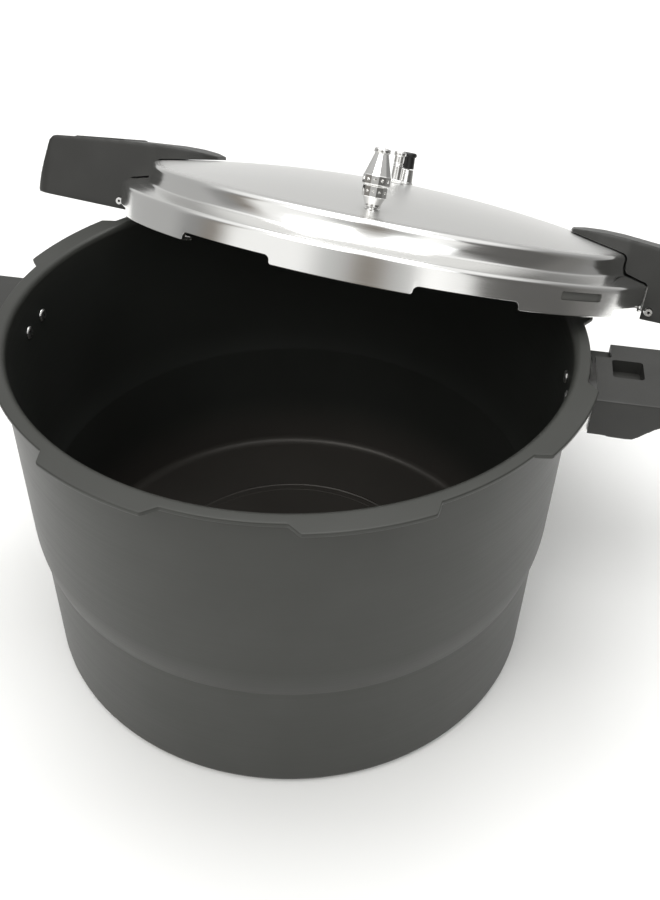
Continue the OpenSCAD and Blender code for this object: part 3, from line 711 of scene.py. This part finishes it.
def grown_lid(g=0.8):
    """A solid the shape of the lid's outside, grown by g, to cut the handles' undersides."""
    pts = [Vector((0, -20)), Vector((SK + g, -20))]
    pts += arc(SK - 3.0, 15.6, 3.0 + g, 0, 76, 4)
    pts += rounded([(181.0, 18.86 + g), (169.4 + g, 21.8 + g, 2.2, 3), (167.8 + g, 27.0)], False)[:-1]
    pts += [Vector((167.8 + g, 27.2))]
    pts += arc(164.3, 30.7, 3.5 + g, 0, 74, 5)
    for k in range(1, 15):
        r = 163.4 * (1 - k / 14)
        pts.append(Vector((r, DOME_H - DOME_R + math.sqrt((DOME_R + g) ** 2 - r * r))))
    ts = [-30 + 60 * k / 48 for k in range(49)]
    return new_object("cut", ring_mesh("cut", ts, lambda t: pts, False))


def handle_blank():
    side = rounded([(255.8, -5, 2.5, 4), (257, -3, 1.5, 3), (248, 34, 5, 4), (244.3, 36.8, 4, 4),
                    (200, 41.6, 30, 4), (165, 44.4, 20, 4), (150, 44.8, 12, 4), (137, 44.2, 8, 4),
                    (128, 43.2, 1.5, 3), (127, 42, 1, 2), (127.4, 39.6), (142, 35.5), (160, 18), (184, -5)])
    plan = rounded([(166, -L_W, 12, 4), (257, -L_W, 14, 8), (257, L_W, 14, 8), (166, L_W, 12, 4), (145, 25,
                                                            20, 4),
                    (134, 19, 14, 5), (127, 10, 5, 5), (127, -10, 5, 5), (134, -19, 14, 5), (145, -25, 20,
                                                            4)])
    a = prism("v_handle", plan, -12, 62)
    b = prism("side", side, -L_W - 3, L_W + 3, "XZ")
    combine(a, b, "INTERSECT")
    return a


def slab(name, x0, x1, y0, y1, z0, z1, r=0.0):
    return prism(name, rect(x0, x1, y0, y1, r), z0, z1)


def sector_block(r0, r1, z0, z1, half, steps=24):
    return new_object("block", ring_mesh("block", [-half + 2 * half * k / steps for k in range(steps + 1)],
                                         lambda t: [
        Vector((r0, z0)), Vector((r1, z0)), Vector((r1, z1)), Vector((r0, z1))], False))


def build_lid_handle():
    h = handle_blank()
    soften(h, 1.0, 7)
    combine(h, grown_lid(), "DIFFERENCE")
    # room for the bracket's plate, its rolled edge and its arm
    combine(h, sector_block(181, 189.7, -8, 19, 9), "DIFFERENCE")
    roll = lathe("roll", [Vector((0.01, -50)), Vector((2.9, -50)), Vector((2.9, 50)), Vector((0.01, 50))],
                 Matrix.Translation((187.7, 0, 0.9)) @ Matrix.Rotation(pi / 2, 4, "X"), 32)
    combine(h, roll, "DIFFERENCE")
    combine(h, slab("arm", 184, 234.5, -12.4, 12.4, 3.8, 6.2), "DIFFERENCE")
    hole = lathe("hole", [Vector((0.01, -8)), Vector((5.2, -8)), Vector((5.2, 4)), Vector((0.01, 4))],
                 Matrix.Translation((222, 0, 0)), 48)
    combine(h, hole, "DIFFERENCE")
    cut = prism("cap_cut", rect(192.85, 233.15, -24.15, 24.15, 5, 5), 35, 70)
    combine(h, cut, "DIFFERENCE")
    return h


def build_cap():
    side = rounded([(233, 30), (233, 38.2, 1.0, 3), (230, 39.1, 2.0, 4), (196, 42.9, 2.0, 4), (193, 42.2,
                                                            1.2, 3),
                    (193, 30)])
    a = prism("v_cap", rect(193, 233, -24, 24, 5, 6), 35.1, 62)
    b = prism("side", side, -28, 28, "XZ")
    combine(a, b, "INTERSECT")
    soften(a, 0.6, 2)
    return a


handle_me = build_lid_handle()
cap_o = build_cap()
for side, az in (("right", LID_AZ), ("left", LID_AZ + 180)):
    for tag, src, mat, slot, node_name in (
            ("handle", handle_me, M_PHENOL, "phenolic", "lid_handle_" + side),
            ("cap", cap_o, M_PHENOL, "phenolic", "lid_handle_cap_" + side)):
        o = new_object("v_" + node_name, src.data.copy())
        settle(o, mat, turned(LID_MM, az), 38, tag != "handle")
        hand_over(o, "lid", slot, node_name)
drop(handle_me, cap_o)


# ------------------------------------------------------------------ pot handles
def build_pot_handle():
    top = RIM_Z - 11
    side = rounded([(167, top - 24), (181, top - 24, 1, 2), (200, top - 25.4, 6, 4), (205, top - 24.6, 6, 4),
                    (217, top - 14.6, 14, 5), (228.8, top - 12, 10, 4), (H_END, top - 11, 3, 3),
                    (H_END, top - 1.5, 2, 3), (H_END - 6, top, 3, 3), (167, top)])
    plan = rounded([(167, -H_W), (H_END, -H_W, 14, 8), (H_END, H_W, 14, 8), (167, H_W)])
    a = prism("v_pot_handle", plan, top - 45, top + 6)
    b = prism("side", side, -H_W - 3, H_W + 3, "XZ")
    combine(a, b, "INTERSECT")
    soften(a, 0.9, 2)
    combine(a, sector_block(120, 180.9, 150, 260, 16, 40), "DIFFERENCE")
    combine(a, slab("channel", 175, 189.8, 15, 45, top - 6, top + 8, 1.5), "DIFFERENCE")
    pocket = prism("pocket", rect(189.8, 207.8, -5, 13, 2.0, 4), top - 8, top + 9)
    combine(a, pocket, "DIFFERENCE")
    for s in (-1, 1):
        combine(a, slab("ear", 165, 187.8, s * 26.3 - 1.2, s * 26.3 + 1.2, RIM_Z - 39, RIM_Z - 20),
                "DIFFERENCE")
    combine(a, slab("arm", 180.5, 209.7, -27.7, 27.7, RIM_Z - 31.2, RIM_Z - 28.8), "DIFFERENCE")
    for r, z0, z1 in ((5.2, RIM_Z - 60, RIM_Z - 30), (2.6, RIM_Z - 31, RIM_Z - 21.8), (4.9, RIM_Z - 28.6,
                                                            RIM_Z - 24.4)):
        hole = lathe("hole", [Vector((0.01, z0)), Vector((r, z0)), Vector((r, z1)), Vector((0.01, z1))],
                     Matrix.Translation((203, 0, 0)), 48)
        combine(a, hole, "DIFFERENCE")
    return a


ph = build_pot_handle()
for side, az in (("right", POT_AZ), ("left", POT_AZ + 180)):
    o = new_object("v_pot_handle_" + side, ph.data.copy())
    settle(o, M_PHENOL, turned(POT_MM, az), 38, False)
    hand_over(o, "pot", "phenolic", "pot_handle_" + side)
drop(ph)

# ------------------------------------------------------------------ brackets, rivets, screws, nuts
for nm, body, slot, mat, w in (
        ("pot_bracket_left", "pot", "bracket_steel", M_BRIGHT, 0.4),
        ("pot_bracket_right", "pot", "bracket_steel", M_BRIGHT, 0.4),
        ("pot_rivets", "pot", "bracket_steel", M_BRIGHT, 0.35),
        ("pot_handle_screws", "pot", "fastener_steel", M_STEEL, 0.2),
        ("pot_handle_nuts", "pot", "fastener_steel", M_STEEL, 0.3),
        ("lid_bracket_left", "lid", "bracket_steel", M_BRIGHT, 0.35),
        ("lid_bracket_right", "lid", "bracket_steel", M_BRIGHT, 0.35),
        ("lid_rivets", "lid", "bracket_steel", M_BRIGHT, 0.3),
        ("lid_handle_screws", "lid", "fastener_steel", M_STEEL, 0.2),
        ("vent_seal", "lid", "valve_rubber", M_WASHER, 0.3),
        ("vent_nut", "lid", "fastener_steel", M_STEEL, 0.4),
        ("vent_strainer", "lid", "valve_metal", M_VALVE, 0.3),
        ("vent_pipe", "lid", "valve_metal", M_VALVE, 0.25),
        ("safety_seal", "lid", "valve_rubber", M_WASHER, 0.3),
        ("safety_nut", "lid", "fastener_steel", M_STEEL, 0.4),
        ("float_seal", "lid", "valve_rubber", M_WASHER, 0.3),
        ("float_nut", "lid", "fastener_steel", M_STEEL, 0.4),
        ("float_pin", "float", "fastener_steel", M_STEEL, 0.3),
        ("weight_needle", "weight", "valve_metal", M_VALVE, 0.2)):
    hand_over(tooled(nm, mat, w), body, slot, nm)

# ------------------------------------------------------------------ weight and valves
W_R, W_AZ = 143.0, math.radians(258)
w_z = DOME_H - DOME_R + math.sqrt(DOME_R ** 2 - W_R ** 2)
WEIGHT_MM = LID_MM @ Matrix.Translation((W_R * math.cos(W_AZ), W_R * math.sin(W_AZ), w_z - 1.2))


def facetted(name, levels, sides, bore=0.0):
    """Rings of flats: levels are (z, corner radius), joined by flat panels."""
    verts, faces = [], []
    for z, r in levels:
        for k in range(sides):
            a = 2 * pi * k / sides
            verts.append((r * math.cos(a), r * math.sin(a), z))
    for i in range(len(levels) - 1):
        for k in range(sides):
            q = (k + 1) % sides
            faces.append((i * sides + k, i * sides + q, (i + 1) * sides + q, (i + 1) * sides + k))
    faces.append(tuple(reversed(range(sides))))
    faces.append(tuple((len(levels) - 1) * sides + k for k in range(sides)))
    o = new_object(name, mesh_from(name, verts, faces))
    if bore:
        z0, z1 = levels[0][0], levels[0][0] + 8.4
        c = lathe("bore", [Vector((0.01, z0 - 2)), Vector((bore, z0 - 2)), Vector((bore, z1)),
                           Vector((0.01, z1))],
                  Matrix.Identity(4), 48)
        combine(o, c, "DIFFERENCE")
    return o


def dimples(o, r, z, size, count, phase):
    for i in range(count):
        a = math.radians(phase + 360 / count * i)
        b = lathe("dimple", [Vector((0.01, -1.2)), Vector((size * 0.4, -1.0)), Vector((size, 0.4)),
                             Vector((size, 3)),
                             Vector((0.01, 3))],
                  Matrix.Translation((r * math.cos(a), r * math.sin(a), z)) @ Matrix.Rotation(a, 4, "Z")
                  @ Matrix.Rotation(pi / 2, 4, "Y"), 16)
        combine(o, b, "DIFFERENCE")
    return o


wb = facetted("v_weight_body", [(14.8, 7.9), (15.4, 8.3), (19.9, 8.3), (20.4, 7.9), (32.1, 4.1)], 12,
              bore=3.75)
dimples(wb, 8.05, 17.8, 1.1, 12, 15)
head = lathe("head", rounded([(0.01, 31.8), (3.9, 31.8, 0, 2), (4.3, 32.6, 0.5, 3), (4.9, 32.9, 0.5, 3),
                              (4.9, 34.2, 0.5, 3), (4.3, 35.0, 0.5, 3), (2.4, 35.3, 0.5, 3), (1.9, 34.6,
                                                            0.3, 2),
                              (0.01, 34.6)]),
             Matrix.Identity(4), 64)
combine(wb, head, "UNION")
bevelled(wb, 0.18, 2, 12)
settle(wb, M_WEIGHT, WEIGHT_MM, 22)
hand_over(wb, "weight", "weight_steel", "weight_body")
ws = facetted("v_weight_base", [(8.0, 6.7), (8.5, 7.3), (13.9, 7.3), (14.4, 6.9)], 12)
cone = lathe("cone", rounded([(0.01, 2.4), (4.3, 2.4, 0, 2), (4.85, 2.8, 0.4, 3), (4.8, 4.2, 1.0, 3), (6.5,
                                                            8.1, 0, 3),
                              (0.01, 8.1)]), Matrix.Identity(4), 64)
combine(ws, cone, "UNION")
dimples(ws, 7.05, 11.3, 1.0, 12, 15)
bore = lathe("bore", [Vector((0.01, 0)), Vector((3.75, 0)), Vector((3.75, 20)), Vector((0.01, 20))],
             Matrix.Identity(4), 48)
combine(ws, bore, "DIFFERENCE")
bevelled(ws, 0.15, 2, 14)
settle(ws, M_WEIGHT, WEIGHT_MM, 22)
hand_over(ws, "weight", "weight_steel", "weight_base")

SAFE_MM = LID_MM @ Matrix.Translation((0, 0, DOME_H))
sb = facetted("v_safety_body", [(0.12, 6.5), (0.5, 6.9), (2.2, 6.9), (2.5, 6.5)], 6)
bevelled(sb, 0.2, 2, 20)
stem = lathe("stem", rounded([(1.25, -10.9), (3.6, -10.9, 0, 2), (3.95, -10.4, 0, 2), (3.95, 0.3), (3.5,
                                                            2.3),
                              (3.5, 11.0), (3.3, 11.35), (2.75, 11.35), (2.75, 2.3), (1.25, 2.2)]),
             Matrix.Identity(4), 64)
bore = lathe("bore", [Vector((0.01, -2)), Vector((1.25, -2)), Vector((1.25, 2.21)), Vector((2.75, 2.3)),
                      Vector((2.75, 6)), Vector((0.01, 6))], Matrix.Identity(4), 48)
combine(sb, bore, "DIFFERENCE")
combine(sb, stem, "UNION")
settle(sb, M_VALVE, SAFE_MM, 30)
hand_over(sb, "lid", "valve_metal", "safety_body")
v_sh = lathe("v_safety_head", rounded([
    (1.05, 10.75), (2.6, 10.75, 0.2, 2), (2.6, 11.55), (3.5, 11.55, 0.3, 3), (3.55, 12.6, 0.3, 3), (3.2,
                                                            12.95, 0.2, 2),
    (3.2, 13.6, 0.2, 2), (3.55, 13.95, 0.3, 3), (3.55, 18.3, 0.4, 3), (4.3, 18.75, 0.3, 3), (4.35, 20.6,
                                                            0.5, 4),
    (3.5, 21.55, 0.4, 3), (2.0, 21.55, 0.3, 3), (1.1, 20.6, 0.3, 2), (1.05, 19.6)]), SAFE_MM, 72, 38,
    M_VALVE)
hand_over(v_sh, "lid", "valve_metal", "safety_head")

ball = bpy.data.meshes.new("v_safety_ball")
bm = bmesh.new()
bmesh.ops.create_icosphere(bm, subdivisions=4, radius=2.3)
bm.to_mesh(ball)
bm.free()
o = new_object("v_safety_ball", ball, Matrix.Translation(ball_c) @ Matrix.Scale(MM, 4))
settle(o, M_VALVE, None, 40, False)
hand_over(o, "valve_ball", "valve_metal", "safety_ball")

# the spring, wound as one wire
verts, faces = [], []
turns, steps, sides = 3.2, 120, 10
for i in range(steps + 1):
    a = 2 * pi * turns * i / steps
    z = 7.95 + 2.2 * i / steps
    for k in range(sides):
        b = 2 * pi * k / sides
        r = 1.85 + 0.28 * math.cos(b)
        verts.append((r * math.cos(a), r * math.sin(a), z + 0.28 * math.sin(b)))
for i in range(steps):
    for k in range(sides):
        q = (k + 1) % sides
        faces.append((i * sides + k, i * sides + q, (i + 1) * sides + q, (i + 1) * sides + k))
faces.append(tuple(reversed(range(sides))))
faces.append(tuple(steps * sides + k for k in range(sides)))
o = new_object("v_safety_spring", mesh_from("v_safety_spring", verts, faces), SAFE_MM)
settle(o, M_STEEL, None, 50, False)
hand_over(o, "lid", "fastener_steel", "safety_spring")

F_R, F_AZ = 18.0, math.radians(60)
f_z = DOME_H - DOME_R + math.sqrt(DOME_R ** 2 - F_R ** 2)
FLOAT_MM = LID_MM @ Matrix.Translation((F_R * math.cos(F_AZ), F_R * math.sin(F_AZ), f_z))
v_fs = lathe("v_float_sleeve", rounded([
    (2.42, -6.75), (4.2, -6.75, 0.3, 2), (4.45, -6.3, 0, 2), (4.45, 0.35), (6.35, 0.35, 0.2, 3), (6.35,
                                                            1.4, 0.4, 3),
    (5.8, 1.55, 0.3, 3), (5.05, 10.3, 0.4, 3), (4.4, 10.45, 0.2, 2), (2.42, 10.45)]), FLOAT_MM, 72, 38,
    M_VALVE)
hand_over(v_fs, "lid", "valve_metal", "float_sleeve")
v_fc = lathe("v_float_cap", rounded([
    (2.03, 10.95), (4.85, 10.95, 0.4, 3), (4.3, 19.0, 0.4, 3), (5.2, 19.6, 0.4, 3), (5.25, 21.1, 0.6, 4),
    (4.3, 22.05, 0.5, 3), (1.0, 22.05, 0.2, 2), (0.8, 21.6, 0.2, 2), (0.01, 21.6), (0.01, 16.2), (2.03,
                                                            16.1)]),
    FLOAT_MM, 72, 38, M_CAP)
hand_over(v_fc, "float", "black_plastic", "float_cap")

# ------------------------------------------------------------------ stage, light, camera
floor_me = bpy.data.meshes.new("stage_floor")
floor_me.from_pydata([(-0.72, -0.75, 0), (0.8, -0.75, 0), (0.8, 1.75, 0), (-0.72, 1.75, 0)], [], [(0, 1, 2,
                                                            3)])
floor_o = new_object("stage_floor", floor_me, Matrix.Translation((0, 0, -0.0004)))
fm, nt, b = material("mat_floor")
b.inputs["Base Color"].default_value = (0.92, 0.92, 0.91, 1)
b.inputs["Roughness"].default_value = 0.9
b.inputs["Specular IOR Level"].default_value = 0.1
floor_me.materials.append(fm)

world = bpy.data.worlds.new("world")
bpy.context.scene.world = world
world.use_nodes = True
nt = world.node_tree
nt.nodes.clear()
wo = nt.nodes.new("ShaderNodeOutputWorld")
bg = nt.nodes.new("ShaderNodeBackground")
nt.links.new(bg.outputs[0], wo.inputs[0])
tc = nt.nodes.new("ShaderNodeTexCoord")
sep = node(nt, "ShaderNodeSeparateXYZ")
nt.links.new(tc.outputs["Generated"], sep.inputs[0])
turn = node(nt, "ShaderNodeMath", operation="ARCTAN2")
nt.links.new(sep.outputs["Y"], turn.inputs[0])
nt.links.new(sep.outputs["X"], turn.inputs[1])
pos = node(nt, "ShaderNodeMapRange")
pos.inputs["From Min"].default_value = -pi
pos.inputs["From Max"].default_value = pi
nt.links.new(turn.outputs[0], pos.inputs["Value"])
# the room round the lid, by compass direction in degrees: bright walls, warm and dark gaps between them
ROOM = [(-180, 0.30, 0), (-170, 0.24, 2), (-158, 1.1, 0), (-132, 1.1, 0), (-116, 0.60, 0), (-101, 0.25, 2),
        (-87, 0.60, 0), (-76, 1.3, 0), (-64, 1.1, 0), (-54, 0.16, 1), (-42, 0.13, 1), (-21, 0.13, 1), (-6,
                                                            0.20, 1),
        (17, 0.30, 0), (45, 0.52, 0), (110, 0.66, 0), (130, 0.50, 0), (166, 0.48, 0), (180, 0.30, 0)]
tint = {0: (1.0, 1.0, 0.985), 1: (1.0, 0.98, 0.94), 2: (1.08, 0.98, 0.86)}
walls = ramp(nt, [((a + 180) / 360, tuple(v * c for c in tint[k])) for a, v, k in ROOM])
walls.color_ramp.interpolation = "EASE"
nt.links.new(pos.outputs[0], walls.inputs[0])
# the walls fade into a plain bright sky between these heights of the view direction
WALL_TOP, SKY_FROM = 0.42, 0.80
height = node(nt, "ShaderNodeMapRange", interpolation_type="SMOOTHSTEP")
height.inputs["From Min"].default_value = WALL_TOP
height.inputs["From Max"].default_value = SKY_FROM
nt.links.new(sep.outputs["Z"], height.inputs["Value"])
mx = node(nt, "ShaderNodeMix", data_type="RGBA")
nt.links.new(height.outputs[0], mx.inputs[0])
nt.links.new(walls.outputs[0], mx.inputs[6])
mx.inputs[7].default_value = (1.1, 1.1, 1.09, 1)
nt.links.new(mx.outputs[2], bg.inputs["Color"])
bg.inputs["Strength"].default_value = 1.0


def area(name, loc, target, size, power, color=(1, 1, 1)):
    l = bpy.data.lights.new(name, "AREA")
    l.shape = "RECTANGLE"
    l.size, l.size_y = size
    l.energy = power
    l.color = color
    o = bpy.data.objects.new(name, l)
    bpy.context.scene.collection.objects.link(o)
    o.location = loc
    o.rotation_mode = "QUATERNION"
    o.rotation_quaternion = (Vector(target) - Vector(loc)).to_track_quat("-Z", "Y")
    return o


area("key", (-0.9, -1.1, 1.9), (0, 0, 0.15), (1.2, 1.2), 12, (1.0, 0.99, 0.97))
area("fill", (0.45, -1.3, 1.5), (0, 0, 0.15), (1.0, 1.0), 3, (0.97, 0.99, 1.0))
area("top", (0.0, 0.5, 2.2), (0, 0.1, 0.2), (1.6, 1.2), 24)

# the camera: its turn, look down and lean in radians, its place in metres, its lens
pan, tilt, roll = 0.0489, 0.6923, 0.0315
LENS_MM = 39.636
eye = Vector((0, -0.50493, 0.54782))
fw = Vector((math.sin(pan) * math.cos(tilt), math.cos(pan) * math.cos(tilt), -math.sin(tilt)))
rt = Vector((math.cos(pan), -math.sin(pan), 0))
up = rt.cross(fw)
r2 = rt * math.cos(roll) + up * math.sin(roll)
u2 = -rt * math.sin(roll) + up * math.cos(roll)
cam_d = bpy.data.cameras.new("camera")
cam_d.sensor_fit = "AUTO"
cam_d.sensor_width = 36
cam_d.lens = LENS_MM
cam_d.clip_start = 0.01
cam = bpy.data.objects.new("camera", cam_d)
bpy.context.scene.collection.objects.link(cam)
cam.matrix_world = Matrix(((r2.x, u2.x, -fw.x, eye.x), (r2.y, u2.y, -fw.y, eye.y), (r2.z, u2.z, -fw.z,
                                                            eye.z),
                           (0, 0, 0, 1)))
sc = bpy.context.scene
sc.camera = cam
sc.view_settings.view_transform = "Standard"
sc.view_settings.look = "None"
sc.view_settings.exposure = 0.0
sc.view_settings.gamma = 1.0
